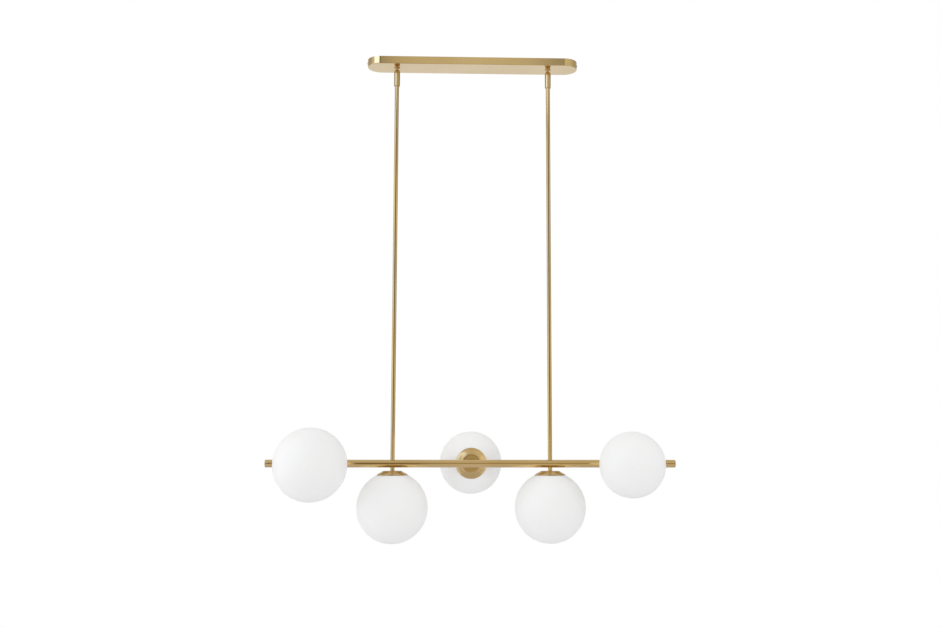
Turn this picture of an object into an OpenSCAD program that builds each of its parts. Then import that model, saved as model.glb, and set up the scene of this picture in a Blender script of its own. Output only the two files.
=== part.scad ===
// Linear pendant chandelier: a long ceiling canopy, two sectional rods on ball
// swivels, a tubular bar and five opal glass globes, two in front of the bar,
// two below it and one behind it.
// The origin is the centre of the ceiling plane. X runs along the bar, the two
// front globes lie towards -Y, and everything hangs down along -Z.

/* [Canopy] */
// Overall length of the canopy
canopy_l = 506; // [450:1:640]
// Overall width of the canopy, which is also the diameter of its round ends
canopy_w = 66; // [56:1:90]
// Height of the canopy below the ceiling
canopy_h = 18; // [17:0.5:30]
// Thickness of the canopy's sheet
canopy_wall = 1.2; // [0.8:0.1:2]
// Radius of the canopy's lower outside edge
canopy_edge_r = 0.9; // [0.4:0.1:1.1]

/* [Mounting plate] */
// Width of the steel strip that is screwed to the ceiling
plate_w = 26; // [22:1:34]
// Thickness of the strip
plate_t = 1.6; // [1.2:0.1:2.5]
// Height of the down-turned end tabs
tab_h = 12; // [10:0.5:14]
// Width of the down-turned end tabs
tab_w = 10; // [8:0.5:12]
// Distance between the centres of the two junction box slots
slot_spacing = 79.4; // [72:0.1:90]
// End to end length of each junction box slot
slot_l = 24; // [16:0.5:28]
// Width of each junction box slot
slot_w = 4.8; // [4:0.1:6]
// Diameter of the hole for the supply wires
supply_hole_d = 22; // [16:1:24]
// Distance between the two outer ceiling screw holes
end_hole_spacing = 430; // [410:1:435]
// Diameter of the two outer ceiling screw holes
end_hole_d = 5.2; // [4:0.1:6]

/* [Plate fittings] */
// Shank diameter of the canopy screws and of the ground screw
screw_d = 3.9; // [3:0.1:4.5]
// Length of the canopy screws below the head
screw_l = 7; // [5:0.5:9]
// Head diameter of the canopy screws
screw_head_d = 6.4; // [5.5:0.1:8]
// Head height of the canopy screws
screw_head_h = 1.4; // [1:0.1:2]
// Diameter of the flat top of the canopy screws' heads
screw_head_top_d = 4.4; // [3:0.1:5.4]
// Distance of the ground screw from the middle of the plate
ground_screw_x = 66; // [60:1:100]
// Head diameter of the ground screw
ground_head_d = 8; // [6:0.1:9]
// Head height of the ground screw
ground_head_h = 2.2; // [1.5:0.1:3]
// Distance of the terminal block from the middle of the plate
terminal_x = 77; // [70:1:100]
// Length of the terminal block
terminal_l = 30; // [24:1:36]
// Width of the terminal block
terminal_w = 16; // [12:1:20]
// Height of the terminal block
terminal_h = 9; // [7:0.5:11]
// Diameter of the terminal block's screw wells
terminal_well_d = 3.4; // [2:0.1:4]
// Distance from one terminal to the next
terminal_pitch = 9; // [6:0.5:10]

/* [Ball swivels] */
// Diameter of the ball
ball_d = 12; // [11:0.1:13]
// Diameter of the neck between ball and collar
neck_d = 6; // [5.5:0.1:6.5]
// Diameter of the threaded stem above the collar
stem_thread_d = 9.5; // [8:0.1:10.5]
// Height of the stem's end above the canopy floor
stem_thread_l = 6.6; // [6:0.1:8]
// Diameter of the collar under the canopy
collar_d = 13.5; // [12:0.1:16]
// Height of the collar
collar_h = 3; // [2:0.1:5]
// Gap between the collar and the round top of the socket
collar_gap = 0.5; // [0.4:0.1:1.5]
// Outside diameter of the socket sleeve
socket_d = 14.4; // [14.2:0.1:17]
// Length of the sleeve below the ball's centre
socket_l = 34.7; // [28:0.1:45]
// Distance from the ball's centre down to the rod's top
rod_top_drop = 12; // [10:0.5:16]
// Backward swing, in degrees, that the socket's mouth leaves room for
swing_back = 20; // [10:1:22]
// Depth of the front slot's round end below the ball's centre
socket_slot_drop = 4.3; // [3:0.1:5]
// Diameter of the washer on the canopy floor
washer_d = 22; // [18:1:26]
// Thickness of that washer
washer_t = 1.6; // [1:0.1:2]
// Width across flats of the stem's nut
stem_nut_w = 15; // [14:0.5:17]
// Height of the stem's nut
stem_nut_h = 4; // [3:0.1:4.5]

/* [Rods] */
// Distance between the two rods
rod_spread = 365; // [330:1:380]
// Outside diameter of the rods
rod_d = 10; // [9.6:0.1:12]
// Length of one rod section
rod_section_l = 305; // [100:1:500]
// Chamfer on the rod sections' ends
rod_chamfer = 0.4; // [0.1:0.05:0.6]
// Length of the hollow studs that join two rod sections
coupler_l = 24; // [16:1:40]
// How far the studs at the rods' feet reach up into the rods
foot_grip = 18; // [12:1:30]

/* [Bar] */
// Overall length of the bar with its end caps
bar_l = 950; // [880:1:1200]
// Outside diameter of the bar
bar_d = 18; // [16.5:0.1:20]
// Wall thickness of the bar
bar_wall = 1.5; // [1:0.1:2]
// Thickness of the end caps outside the tube
cap_t = 2; // [1:0.1:5]
// Depth of the end caps' plugs inside the tube
cap_plug_l = 8; // [5:0.5:15]
// Chamfer on the end caps
cap_chamfer = 0.5; // [0.2:0.1:0.8]
// Length of the solid inserts that carry rods and arms
block_l = 30; // [20:1:40]
// Diameter of the wire way through the inserts
block_way_d = 6; // [5:0.1:6.5]

/* [Arms] */
// Distance of the two front arms from the middle of the bar
front_arm_x = 359; // [330:1:380]
// Diameter of the hollow threaded nipples
nipple_d = 8; // [7.6:0.1:8.4]
// Bore of the nipples, studs and ball stems
nipple_bore_d = 4.4; // [4.2:0.1:4.8]
// How far the nipples reach into the lampholders
nipple_reach = 1; // [0.6:0.1:1.4]
// Distance from the bar's axis to the nipples' inner ends
nipple_start = 3; // [2.5:0.1:3.5]
// Outside diameter of the short stems between bar and cups
stem_d = 10; // [9.6:0.1:14]
// Length of the short stems, from the bar's surface to the cup
stem_l = 7.3; // [7:0.1:16]
// Width across flats of the nuts inside the cups
cup_nut_w = 13; // [12:0.5:16]
// Height of the nuts inside the cups
cup_nut_h = 4; // [3:0.1:6]

/* [Cups] */
// Diameter of the cup at its rim
cup_d = 72; // [70:0.5:74]
// Sheet thickness of the cup
cup_wall = 1; // [0.6:0.1:1.2]
// Diameter of the cup's flat middle
cup_flat_d = 38; // [36:0.5:40]
// Diameter of the cup's crown, where the shoulder begins
cup_crown_d = 49.6; // [48:0.1:52]
// Rise of the crown above the flat middle
cup_crown_h = 2.5; // [2:0.1:3]
// Diameter of the cup's shoulder, where the rim begins
cup_shoulder_d = 62; // [61:0.1:62]
// Rise of the shoulder
cup_shoulder_h = 3; // [2.6:0.1:3.4]
// Rise of the rim
cup_rim_h = 3.2; // [2.8:0.1:3.4]
// Outside diameter of the threaded boss inside the cup
boss_d = 44; // [40:0.1:45]
// Wall thickness of the boss
boss_wall = 1.5; // [1.2:0.1:2.5]
// Height of the boss's hub, which stands on the cup's flat middle
boss_hub_h = 3.8; // [3:0.1:5]
// Diameter of the boss's hub
boss_hub_d = 17; // [16:0.1:18]
// Thickness of the boss's floor
boss_floor_t = 2; // [1.5:0.1:3]
// Height of the boss's threaded skirt above its floor
boss_skirt_h = 14; // [11:0.5:18]
// Width of the sealing ring between cup and glass
gasket_w = 3; // [2:0.1:3.2]
// Diameter of the circle on which the sealing ring meets the glass
gasket_d = 66; // [65.5:0.5:67]
// Thickness of the sealing ring on that circle, with its clearance to the glass
gasket_t = 1.15; // [1:0.05:1.6]

/* [Globes] */
// Outside diameter of the three large globes
globe_large_d = 164; // [144:1:190]
// Outside diameter of the two small globes
globe_small_d = 148; // [144:1:190]
// Thickness of the glass
glass_wall = 3; // [2:0.1:4]
// Length of the glass collar round the neck
glass_collar_l = 12; // [9:0.5:13]
// Wall thickness of the thread ring in the neck
ring_wall = 2.5; // [1.8:0.1:3]
// Height of the thread ring
ring_h = 9; // [6:0.5:10]
// Distance of the thread ring from the boss's floor
ring_start = 1.5; // [1:0.1:2]

/* [Lamps] */
// Diameter of the lampholder
holder_d = 22; // [20:0.5:26]
// Height of the lampholder
holder_h = 23; // [20:0.5:28]
// Diameter of the lampholder's foot
holder_foot_d = 26; // [23:0.5:30]
// Thickness of the lampholder's foot
holder_foot_t = 2.4; // [1.5:0.1:4]
// Depth of the recess that takes the bulb's base
holder_recess = 4; // [3:0.1:6]
// Depth of the hollow in the lampholder's foot for the nipple's end
holder_foot_recess = 2.2; // [2.2:0.1:4]
// Depth of the contact holes below the bulb's recess
contact_depth = 10; // [9:0.1:12]
// Diameter of the bulb
bulb_d = 16; // [13:0.1:17]
// Length of the bulb without its pins
bulb_l = 40; // [30:1:46]
// Diameter of the bulb's pins
pin_d = 2.2; // [1.6:0.1:2.6]
// Length of the bulb's pins
pin_l = 8.2; // [6:0.1:8.5]
// Distance between the bulb's pins
pin_pitch = 9; // [8:0.1:9.5]

/* [Wires] */
// Diameter of the sheathed leads in canopy, rod and arms
wire_d = 3.8; // [2.6:0.1:3.8]
// Diameter of the bundle of leads along the bar
trunk_d = 4.6; // [4:0.1:4.8]
// Distance of the canopy's lead below the plate
wire_drop = 3.4; // [2.5:0.1:3.6]
// Radius of the lead's bend into the ball stem
wire_bend_r = 4.6; // [4:0.1:4.8]
// Gap between the ball and the top of the rod's lead
wire_ball_gap = 1.5; // [1:0.1:3]
// How far the leads reach into the lampholders beyond the nipples
wire_reach = 0.5; // [0.2:0.1:0.8]

/* [Hidden] */
$fn = 96;

// Clearances, all on the radius or on one side
thread_fit = 0.1;
turn_fit = 0.05;
push_fit = 0.05;
free_gap = 0.3;
screw_gap = 0.2;
glue_gap = 0.1;
bulb_gap = 0.4;
saddle_gap = 0.05;
// Extra length by which a cut runs past a surface
past = 1;

brass = [0.79, 0.63, 0.37];
steel = [0.72, 0.72, 0.70];
opal = [0.96, 0.96, 0.95];
ceramic_white = [0.92, 0.91, 0.88];
sheath = [0.88, 0.86, 0.80];
silicone = [0.85, 0.84, 0.82];
block_plastic = [0.93, 0.92, 0.87];

LEFT = -1;
RIGHT = 1;
TOWARDS_FRONT = 90;
TOWARDS_BACK = -90;
DOWNWARDS = 180;
UPWARDS = 0;

// Heights along the hang, all measured from the ceiling plane
floor_z = -canopy_h + canopy_wall;
ball_z = -canopy_h - collar_h - collar_gap - socket_d / 2;
rod_top_z = ball_z - rod_top_drop;
section_top = [for (i = [0:2]) rod_top_z - i * rod_section_l];
bar_crown_z = rod_top_z - 3 * rod_section_l;
bar_z = bar_crown_z - bar_d / 2;

// Places of the mounting plate's ends and of the canopy screws
canopy_screw_z = -plate_t - tab_h / 2;
tab_gap = 0.5;
tab_face_x = canopy_l / 2 - canopy_wall - tab_gap;
// The strip stops where its corners would meet the canopy's round ends
strip_half_l = (canopy_l - canopy_w) / 2
    + sqrt(pow(canopy_w / 2 - canopy_wall, 2) - pow(plate_w / 2, 2)) - 2 * free_gap;

// Places along an arm, measured outwards from the bar's axis
cup_a = bar_d / 2 + stem_l;
crown_a = cup_a + cup_crown_h;
shoulder_a = crown_a + cup_shoulder_h;
rim_a = shoulder_a + cup_rim_h;
boss_floor_a = cup_a + cup_wall + boss_hub_h;
nut_a = boss_floor_a + boss_floor_t;
holder_a = nut_a + cup_nut_h + free_gap;
nipple_end = holder_a + nipple_reach;
holder_top_a = holder_a + holder_h;
bulb_a = holder_top_a - holder_recess + free_gap;
gasket_inner_a = rim_surface(gasket_d / 2) + cup_wall;
glass_seat_a = gasket_inner_a + gasket_t;
ring_a = nut_a + ring_start;

rod_bore_d = nipple_d + 2 * thread_fit;
bar_bore_d = bar_d - 2 * bar_wall;
block_d = bar_bore_d - 2 * push_fit;
neck_r = boss_d / 2 + thread_fit + ring_wall + glue_gap;

// Each arm: its place on the bar, its direction and its globe's diameter
ARMS = [
    ["front_left", -front_arm_x, TOWARDS_FRONT, globe_large_d],
    ["down_left", -rod_spread / 2, DOWNWARDS, globe_large_d],
    ["back_centre", 0, TOWARDS_BACK, globe_small_d],
    ["down_right", rod_spread / 2, DOWNWARDS, globe_large_d],
    ["front_right", front_arm_x, TOWARDS_FRONT, globe_small_d]
];

// Distance along the arm to the outside of the cup's rim at radius r
function rim_surface(r) =
    shoulder_a + cup_rim_h * (r - cup_shoulder_d / 2) / (cup_d / 2 - cup_shoulder_d / 2);

// Distance along the arm to the centre of a globe that meets the sealing ring
function globe_centre(globe_d) = glass_seat_a + sqrt(pow(globe_d / 2, 2) - pow(gasket_d / 2, 2));

// Distance along the arm to the glass at radius r
function globe_surface(r, globe_d) = globe_centre(globe_d) - sqrt(pow(globe_d / 2, 2) - r * r);

// Points along a circular arc
function arc_points(centre, r, from, to, steps) =
    [for (i = [0:steps]) let (a = from + (to - from) * i / steps) centre + r * [cos(a), sin(a)]];

// Radius of the arc that leaves a line and rises by h over the width w
function rise_radius(w, h) = (w * w + h * h) / (2 * h);

// Puts a piece on an arm, with local +Z pointing outwards from the bar's axis
module on_arm(arm) {
    translate([arm[1], 0, bar_z]) rotate([arm[2], 0, 0]) children();
}

// A straight tube along +Z
module tube(outer_d, inner_d, h) {
    difference() {
        cylinder(d = outer_d, h = h);
        translate([0, 0, -past]) cylinder(d = inner_d, h = h + 2 * past);
    }
}

// A hexagon nut along +Z
module nut(across_flats, hole_d, h) {
    difference() {
        cylinder(d = across_flats / cos(30), h = h, $fn = 6);
        translate([0, 0, -past]) cylinder(d = hole_d, h = h + 2 * past);
    }
}

// An outline with straight sides and round ends
module stadium(l, w) {
    square([l - w, w], center = true);
    for (side = [LEFT, RIGHT]) translate([side * (l - w) / 2, 0]) circle(d = w);
}

// Half of the canopy's outside cross-section, with its rounded lower edge
function canopy_half() = concat(
    [[0, -canopy_h]],
    arc_points([canopy_w / 2 - canopy_edge_r, -canopy_h + canopy_edge_r], canopy_edge_r, -90, 0, 6),
    [[canopy_w / 2, 0], [0, 0]]
);

module canopy_outside() {
    straight = canopy_l - canopy_w;
    for (side = [LEFT, RIGHT])
        translate([side * straight / 2, 0, 0])
            rotate([0, 0, -90 * side])
                rotate_extrude(angle = 180) polygon(canopy_half());
    for (half = [0, 1])
        mirror([0, half, 0])
            translate([-straight / 2, 0, 0])
                rotate([90, 0, 90])
                    linear_extrude(straight) polygon(canopy_half());
}

// Long shallow pan with round ends, closed below and open to the ceiling
module canopy() {
    color(brass)
        difference() {
            canopy_outside();
            translate([0, 0, floor_z])
                linear_extrude(canopy_h)
                    stadium(canopy_l - 2 * canopy_wall, canopy_w - 2 * canopy_wall);
            for (side = [LEFT, RIGHT])
                translate([side * rod_spread / 2, 0, -canopy_h - past])
                    cylinder(d = stem_thread_d + 2 * screw_gap, h = canopy_wall + 2 * past);
            for (side = [LEFT, RIGHT])
                translate([side * canopy_l / 2, 0, canopy_screw_z])
                    rotate([0, 90, 0])
                        cylinder(d = screw_d + 2 * screw_gap, h = 4 * canopy_wall, center = true);
        }
}

// Steel strip against the ceiling, with slots for a junction box and end tabs
module mounting_plate() {
    color(steel)
        difference() {
            union() {
                translate([-strip_half_l, -plate_w / 2, -plate_t])
                    cube([2 * strip_half_l, plate_w, plate_t]);
                translate([-tab_face_x, -tab_w / 2, -plate_t]) cube([2 * tab_face_x, tab_w, plate_t]);
                for (side = [0, 1])
                    mirror([side, 0, 0])
                        translate([tab_face_x - plate_t, -tab_w / 2, -plate_t - tab_h])
                            cube([plate_t, tab_w, tab_h + plate_t]);
            }
            for (side = [LEFT, RIGHT]) {
                translate([side * slot_spacing / 2, 0, -plate_t - past])
                    linear_extrude(plate_t + 2 * past) stadium(slot_l, slot_w);
                translate([side * end_hole_spacing / 2, 0, -plate_t - past])
                    cylinder(d = end_hole_d, h = plate_t + 2 * past);
                translate([side * tab_face_x, 0, canopy_screw_z])
                    rotate([0, 90, 0])
                        cylinder(d = screw_d + 2 * thread_fit, h = 4 * plate_t, center = true);
            }
            translate([0, 0, -plate_t - past]) cylinder(d = supply_hole_d, h = plate_t + 2 * past);
            translate([ground_screw_x, 0, -plate_t - past])
                cylinder(d = screw_d + 2 * thread_fit, h = plate_t + 2 * past);
        }
}

// Low round-headed screws through the canopy's ends into the plate's tabs
module canopy_screws() {
    color(brass)
        for (side = [0, 1])
            mirror([side, 0, 0])
                translate([canopy_l / 2, 0, canopy_screw_z])
                    rotate([0, 90, 0]) {
                        cylinder(d1 = screw_head_d, d2 = screw_head_top_d, h = screw_head_h);
                        translate([0, 0, -screw_l]) cylinder(d = screw_d, h = screw_l);
                    }
}

// Screw for the ground wire, with its head under the plate
module ground_screw() {
    color(steel)
        translate([ground_screw_x, 0, -plate_t]) {
            translate([0, 0, -ground_head_h]) cylinder(d = ground_head_d, h = ground_head_h);
            cylinder(d = screw_d, h = plate_t);
        }
}

// Block of three terminals under the plate, with a screw well for each
module terminal_block() {
    color(block_plastic)
        difference() {
            translate([-terminal_x - terminal_l / 2, -terminal_w / 2, -plate_t - terminal_h])
                cube([terminal_l, terminal_w, terminal_h]);
            for (i = [-1:1])
                translate([-terminal_x + i * terminal_pitch, 0, -plate_t - terminal_h - past])
                    cylinder(d = terminal_well_d, h = terminal_h / 2 + past);
        }
}

// Lead from the terminal block through the left ball stem to the ball's end
module canopy_wires() {
    lead_z = -plate_t - wire_drop;
    start_x = -terminal_x - terminal_l / 2;
    bend_x = -rod_spread / 2 + wire_bend_r;
    color(sheath) {
        translate([bend_x, 0, lead_z])
            rotate([0, 90, 0]) cylinder(d = wire_d, h = start_x - bend_x);
        translate([bend_x, 0, lead_z - wire_bend_r])
            rotate([90, 0, 0])
                rotate([0, 0, 90])
                    rotate_extrude(angle = 90) translate([wire_bend_r, 0]) circle(d = wire_d);
        translate([-rod_spread / 2, 0, ball_z - ball_d / 2 + free_gap])
            cylinder(d = wire_d, h = lead_z - wire_bend_r - ball_z + ball_d / 2 - free_gap);
    }
}

// Hollow turned stem: thread through the canopy, collar, neck and ball
module ball_stem(side) {
    color(brass)
        translate([side * rod_spread / 2, 0, 0])
            difference() {
                union() {
                    translate([0, 0, -canopy_h])
                        cylinder(d = stem_thread_d, h = canopy_wall + stem_thread_l);
                    translate([0, 0, -canopy_h - collar_h]) cylinder(d = collar_d, h = collar_h);
                    translate([0, 0, ball_z]) cylinder(d = neck_d, h = -canopy_h - collar_h - ball_z);
                    translate([0, 0, ball_z]) sphere(d = ball_d);
                }
                translate([0, 0, ball_z - ball_d])
                    cylinder(d = nipple_bore_d, h = ball_d - ball_z);
            }
}

module ball_stem_left() { ball_stem(LEFT); }
module ball_stem_right() { ball_stem(RIGHT); }

module stem_washers() {
    color(steel)
        for (side = [LEFT, RIGHT])
            translate([side * rod_spread / 2, 0, floor_z])
                tube(washer_d, stem_thread_d + 2 * screw_gap, washer_t);
}

module stem_nuts() {
    color(steel)
        for (side = [LEFT, RIGHT])
            translate([side * rod_spread / 2, 0, floor_z + washer_t])
                nut(stem_nut_w, stem_thread_d + 2 * thread_fit, stem_nut_h);
}

// Sleeve that hangs on the ball, with a round top, a wide mouth and a front slot
module swivel_socket(side) {
    seat_d = ball_d + 2 * turn_fit;
    mouth_r = neck_d / 2 / cos(swing_back) + free_gap;
    slot_width = neck_d + 2 * free_gap;
    color(brass)
        translate([side * rod_spread / 2, 0, ball_z])
            difference() {
                union() {
                    sphere(d = socket_d);
                    translate([0, 0, -socket_l]) cylinder(d = socket_d, h = socket_l);
                }
                sphere(d = seat_d);
                translate([0, 0, -socket_l - past]) cylinder(d = seat_d, h = socket_l + past);
                cylinder(r1 = mouth_r, r2 = mouth_r + socket_d * tan(swing_back), h = socket_d);
                translate([-slot_width / 2, -socket_d, -socket_slot_drop + slot_width / 2])
                    cube([slot_width, socket_d, 2 * socket_d]);
                translate([0, 0, -socket_slot_drop + slot_width / 2])
                    rotate([90, 0, 0]) cylinder(d = slot_width, h = socket_d);
            }
}

module swivel_socket_left() { swivel_socket(LEFT); }
module swivel_socket_right() { swivel_socket(RIGHT); }

// Bushes that fill the space between the sleeves and the rods' tops
module swivel_bushes() {
    color(brass)
        for (side = [LEFT, RIGHT])
            translate([side * rod_spread / 2, 0, ball_z - socket_l])
                tube(ball_d, rod_d + 2 * push_fit, socket_l - rod_top_drop);
}

// One rod section, hanging down from top_z
module rod_section(side, top_z) {
    color(brass)
        translate([side * rod_spread / 2, 0, top_z - rod_section_l])
            difference() {
                union() {
                    cylinder(d1 = rod_d - 2 * rod_chamfer, d2 = rod_d, h = rod_chamfer);
                    translate([0, 0, rod_chamfer])
                        cylinder(d = rod_d, h = rod_section_l - 2 * rod_chamfer);
                    translate([0, 0, rod_section_l - rod_chamfer])
                        cylinder(d1 = rod_d, d2 = rod_d - 2 * rod_chamfer, h = rod_chamfer);
                }
                translate([0, 0, -past]) cylinder(d = rod_bore_d, h = rod_section_l + 2 * past);
            }
}

// The lowest section, whose foot is cut to sit astride the bar
module rod_foot_section(side) {
    skirt = bar_d / 2;
    color(brass)
        translate([side * rod_spread / 2, 0, bar_crown_z])
            difference() {
                union() {
                    translate([0, 0, -skirt])
                        cylinder(d = rod_d, h = rod_section_l + skirt - rod_chamfer);
                    translate([0, 0, rod_section_l - rod_chamfer])
                        cylinder(d1 = rod_d, d2 = rod_d - 2 * rod_chamfer, h = rod_chamfer);
                }
                translate([0, 0, -skirt - past])
                    cylinder(d = rod_bore_d, h = rod_section_l + skirt + 2 * past);
                saddle_cut(rod_d, -skirt);
            }
}

// The bar's outside, drawn across the origin, as a cut for a saddle
module saddle_cut(width, axis_z) {
    translate([-width, 0, axis_z])
        rotate([0, 90, 0]) cylinder(d = bar_d + 2 * saddle_gap, h = 2 * width);
}

module rod_left_upper() { rod_section(LEFT, section_top[0]); }
module rod_left_middle() { rod_section(LEFT, section_top[1]); }
module rod_left_lower() { rod_foot_section(LEFT); }
module rod_right_upper() { rod_section(RIGHT, section_top[0]); }
module rod_right_middle() { rod_section(RIGHT, section_top[1]); }
module rod_right_lower() { rod_foot_section(RIGHT); }

// Hollow studs across the joints between rod sections
module rod_couplers() {
    color(brass)
        for (side = [LEFT, RIGHT])
            for (i = [1, 2])
                translate([side * rod_spread / 2, 0, section_top[i] - coupler_l / 2])
                    tube(nipple_d, nipple_bore_d, coupler_l);
}

// Hollow studs that hold the rods' feet on the bar
module rod_feet() {
    color(brass)
        for (side = [LEFT, RIGHT])
            translate([side * rod_spread / 2, 0, bar_z + nipple_start])
                tube(nipple_d, nipple_bore_d, bar_d / 2 + foot_grip - nipple_start);
}

// Lead through the left rod, from below the ball to the bar
module rod_wire() {
    wire_top = ball_z - ball_d / 2 - wire_ball_gap;
    wire_end = bar_z + trunk_d / 2 + free_gap;
    color(sheath)
        translate([-rod_spread / 2, 0, wire_end]) cylinder(d = wire_d, h = wire_top - wire_end);
}

// Cross bore for a nipple or a stud, out through one side of the bar
module arm_hole(x, turn) {
    translate([x, 0, bar_z]) rotate([turn, 0, 0]) cylinder(d = nipple_d + 2 * thread_fit, h = bar_d);
}

module arm_holes() {
    for (arm = ARMS) arm_hole(arm[1], arm[2]);
    for (side = [LEFT, RIGHT]) arm_hole(side * rod_spread / 2, UPWARDS);
}

// The long tube, drilled for the rods and the arms
module bar() {
    tube_l = bar_l - 2 * cap_t;
    color(brass)
        difference() {
            translate([-tube_l / 2, 0, bar_z]) rotate([0, 90, 0]) tube(bar_d, bar_bore_d, tube_l);
            arm_holes();
        }
}

// Turned caps with plugs, one in each end of the bar
module bar_end_caps() {
    color(brass)
        for (side = [0, 1])
            mirror([side, 0, 0])
                translate([bar_l / 2 - cap_t, 0, bar_z])
                    rotate([0, 90, 0]) {
                        cylinder(d = bar_d, h = cap_t - cap_chamfer);
                        translate([0, 0, cap_t - cap_chamfer])
                            cylinder(d1 = bar_d, d2 = bar_d - 2 * cap_chamfer, h = cap_chamfer);
                        translate([0, 0, -cap_plug_l])
                            cylinder(d = bar_bore_d - 2 * push_fit, h = cap_plug_l);
                    }
}

// Solid inserts in the bar, tapped for the nipples, with a way for the wires
module joint_blocks() {
    color(brass)
        difference() {
            for (arm = ARMS)
                translate([arm[1] - block_l / 2, 0, bar_z])
                    rotate([0, 90, 0]) tube(block_d, block_way_d, block_l);
            arm_holes();
        }
}

// Leads along the bar, with a branch through each nipple to its lampholder
module bar_wires() {
    half_l = front_arm_x + trunk_d / 2;
    color(sheath) {
        translate([-half_l, 0, bar_z]) rotate([0, 90, 0]) cylinder(d = trunk_d, h = 2 * half_l);
        for (arm = ARMS) on_arm(arm) cylinder(d = wire_d, h = nipple_end + wire_reach);
    }
}

// Hollow threaded nipples that pull stem, cup and boss against the bar
module arm_nipples() {
    color(steel)
        for (arm = ARMS)
            on_arm(arm)
                translate([0, 0, nipple_start])
                    tube(nipple_d, nipple_bore_d, nipple_end - nipple_start);
}

module cup_nuts() {
    color(steel)
        for (arm = ARMS)
            on_arm(arm)
                translate([0, 0, nut_a]) nut(cup_nut_w, nipple_d + 2 * thread_fit, cup_nut_h);
}

// Short stem between bar and cup, cut to sit astride the bar
module arm_stem(arm) {
    color(brass)
        on_arm(arm)
            difference() {
                cylinder(d = stem_d, h = cup_a);
                translate([0, 0, -past])
                    cylinder(d = nipple_d + 2 * thread_fit, h = cup_a + 2 * past);
                saddle_cut(stem_d, 0);
            }
}

// Outside of the spun cup, from its centre hole to its rim
function cup_outline() = concat(
    [[nipple_d / 2 + thread_fit, cup_a]],
    let (w = (cup_crown_d - cup_flat_d) / 2, r = rise_radius(w, cup_crown_h))
        arc_points([cup_flat_d / 2, cup_a + r], r, -90, -90 + asin(w / r), 10),
    [[cup_shoulder_d / 2, shoulder_a], [cup_d / 2, rim_a]]
);

// Spun cup: flat disc, rounded step down, sloping shoulder and steeper rim
module cup(arm) {
    outline = cup_outline();
    inside = [for (i = [len(outline) - 1:-1:0]) outline[i] + [0, cup_wall]];
    color(brass) on_arm(arm) rotate_extrude() polygon(concat(outline, inside));
}

// Cup-shaped boss that carries the globe's thread ring
module screw_bosses() {
    color(steel)
        for (arm = ARMS)
            on_arm(arm)
                difference() {
                    union() {
                        translate([0, 0, cup_a + cup_wall]) cylinder(d = boss_hub_d, h = boss_hub_h);
                        translate([0, 0, boss_floor_a])
                            cylinder(d = boss_d, h = boss_floor_t + boss_skirt_h);
                    }
                    cylinder(d = nipple_d + 2 * thread_fit, h = holder_a + boss_skirt_h);
                    translate([0, 0, nut_a])
                        cylinder(d = boss_d - 2 * boss_wall, h = boss_skirt_h + past);
                }
}

// Soft ring that lies in the cup's rim, shaped to the glass
module gaskets() {
    inner_r = (gasket_d - gasket_w) / 2;
    outer_r = (gasket_d + gasket_w) / 2;
    steps = 4;
    color(silicone)
        for (arm = ARMS)
            on_arm(arm)
                rotate_extrude()
                    polygon(concat(
                        [for (r = [inner_r, outer_r]) [r, rim_surface(r) + cup_wall]],
                        [for (i = [steps:-1:0])
                            let (r = inner_r + (outer_r - inner_r) * i / steps)
                                [r, globe_surface(r, arm[3]) - free_gap]]
                    ));
}

// Ceramic lampholder with a recess for the bulb's base and two contact holes
module lampholder(arm) {
    recess_floor = holder_h - holder_recess;
    color(ceramic_white)
        on_arm(arm)
            translate([0, 0, holder_a])
                difference() {
                    union() {
                        cylinder(d = holder_foot_d, h = holder_foot_t);
                        cylinder(d = holder_d, h = holder_h);
                    }
                    translate([0, 0, -past])
                        cylinder(d = nipple_d + 2 * thread_fit, h = holder_foot_recess + past);
                    translate([0, 0, recess_floor])
                        cylinder(d = bulb_d + 2 * bulb_gap, h = holder_recess + past);
                    for (side = [LEFT, RIGHT])
                        translate([side * pin_pitch / 2, 0, recess_floor - contact_depth])
                            cylinder(d = pin_d + 2 * free_gap, h = contact_depth + past);
                }
}

// Capsule bulb with a round tip and two pins
module bulb(arm) {
    color(ceramic_white)
        on_arm(arm)
            translate([0, 0, bulb_a]) {
                cylinder(d = bulb_d, h = bulb_l - bulb_d / 2);
                translate([0, 0, bulb_l - bulb_d / 2]) sphere(d = bulb_d);
                for (side = [LEFT, RIGHT])
                    translate([side * pin_pitch / 2, 0, -pin_l]) cylinder(d = pin_d, h = pin_l + past);
            }
}

// Opal glass globe, with a collar turned inwards round its neck
module globe(arm) {
    r = arm[3] / 2;
    collar_start = sqrt(r * r - neck_r * neck_r);
    color(opal)
        on_arm(arm)
            translate([0, 0, globe_centre(arm[3])])
                difference() {
                    sphere(r = r);
                    difference() {
                        sphere(r = r - glass_wall);
                        translate([0, 0, -r])
                            cylinder(r = neck_r + glass_wall, h = r - collar_start + glass_collar_l);
                    }
                    translate([0, 0, -r - past])
                        cylinder(r = neck_r, h = r - collar_start + glass_collar_l + 2 * past);
                }
}

// Thread ring cemented into the globe's neck
module globe_ring(arm) {
    inner_d = boss_d + 2 * thread_fit;
    color(steel)
        on_arm(arm) translate([0, 0, ring_a]) tube(inner_d + 2 * ring_wall, inner_d, ring_h);
}

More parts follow.
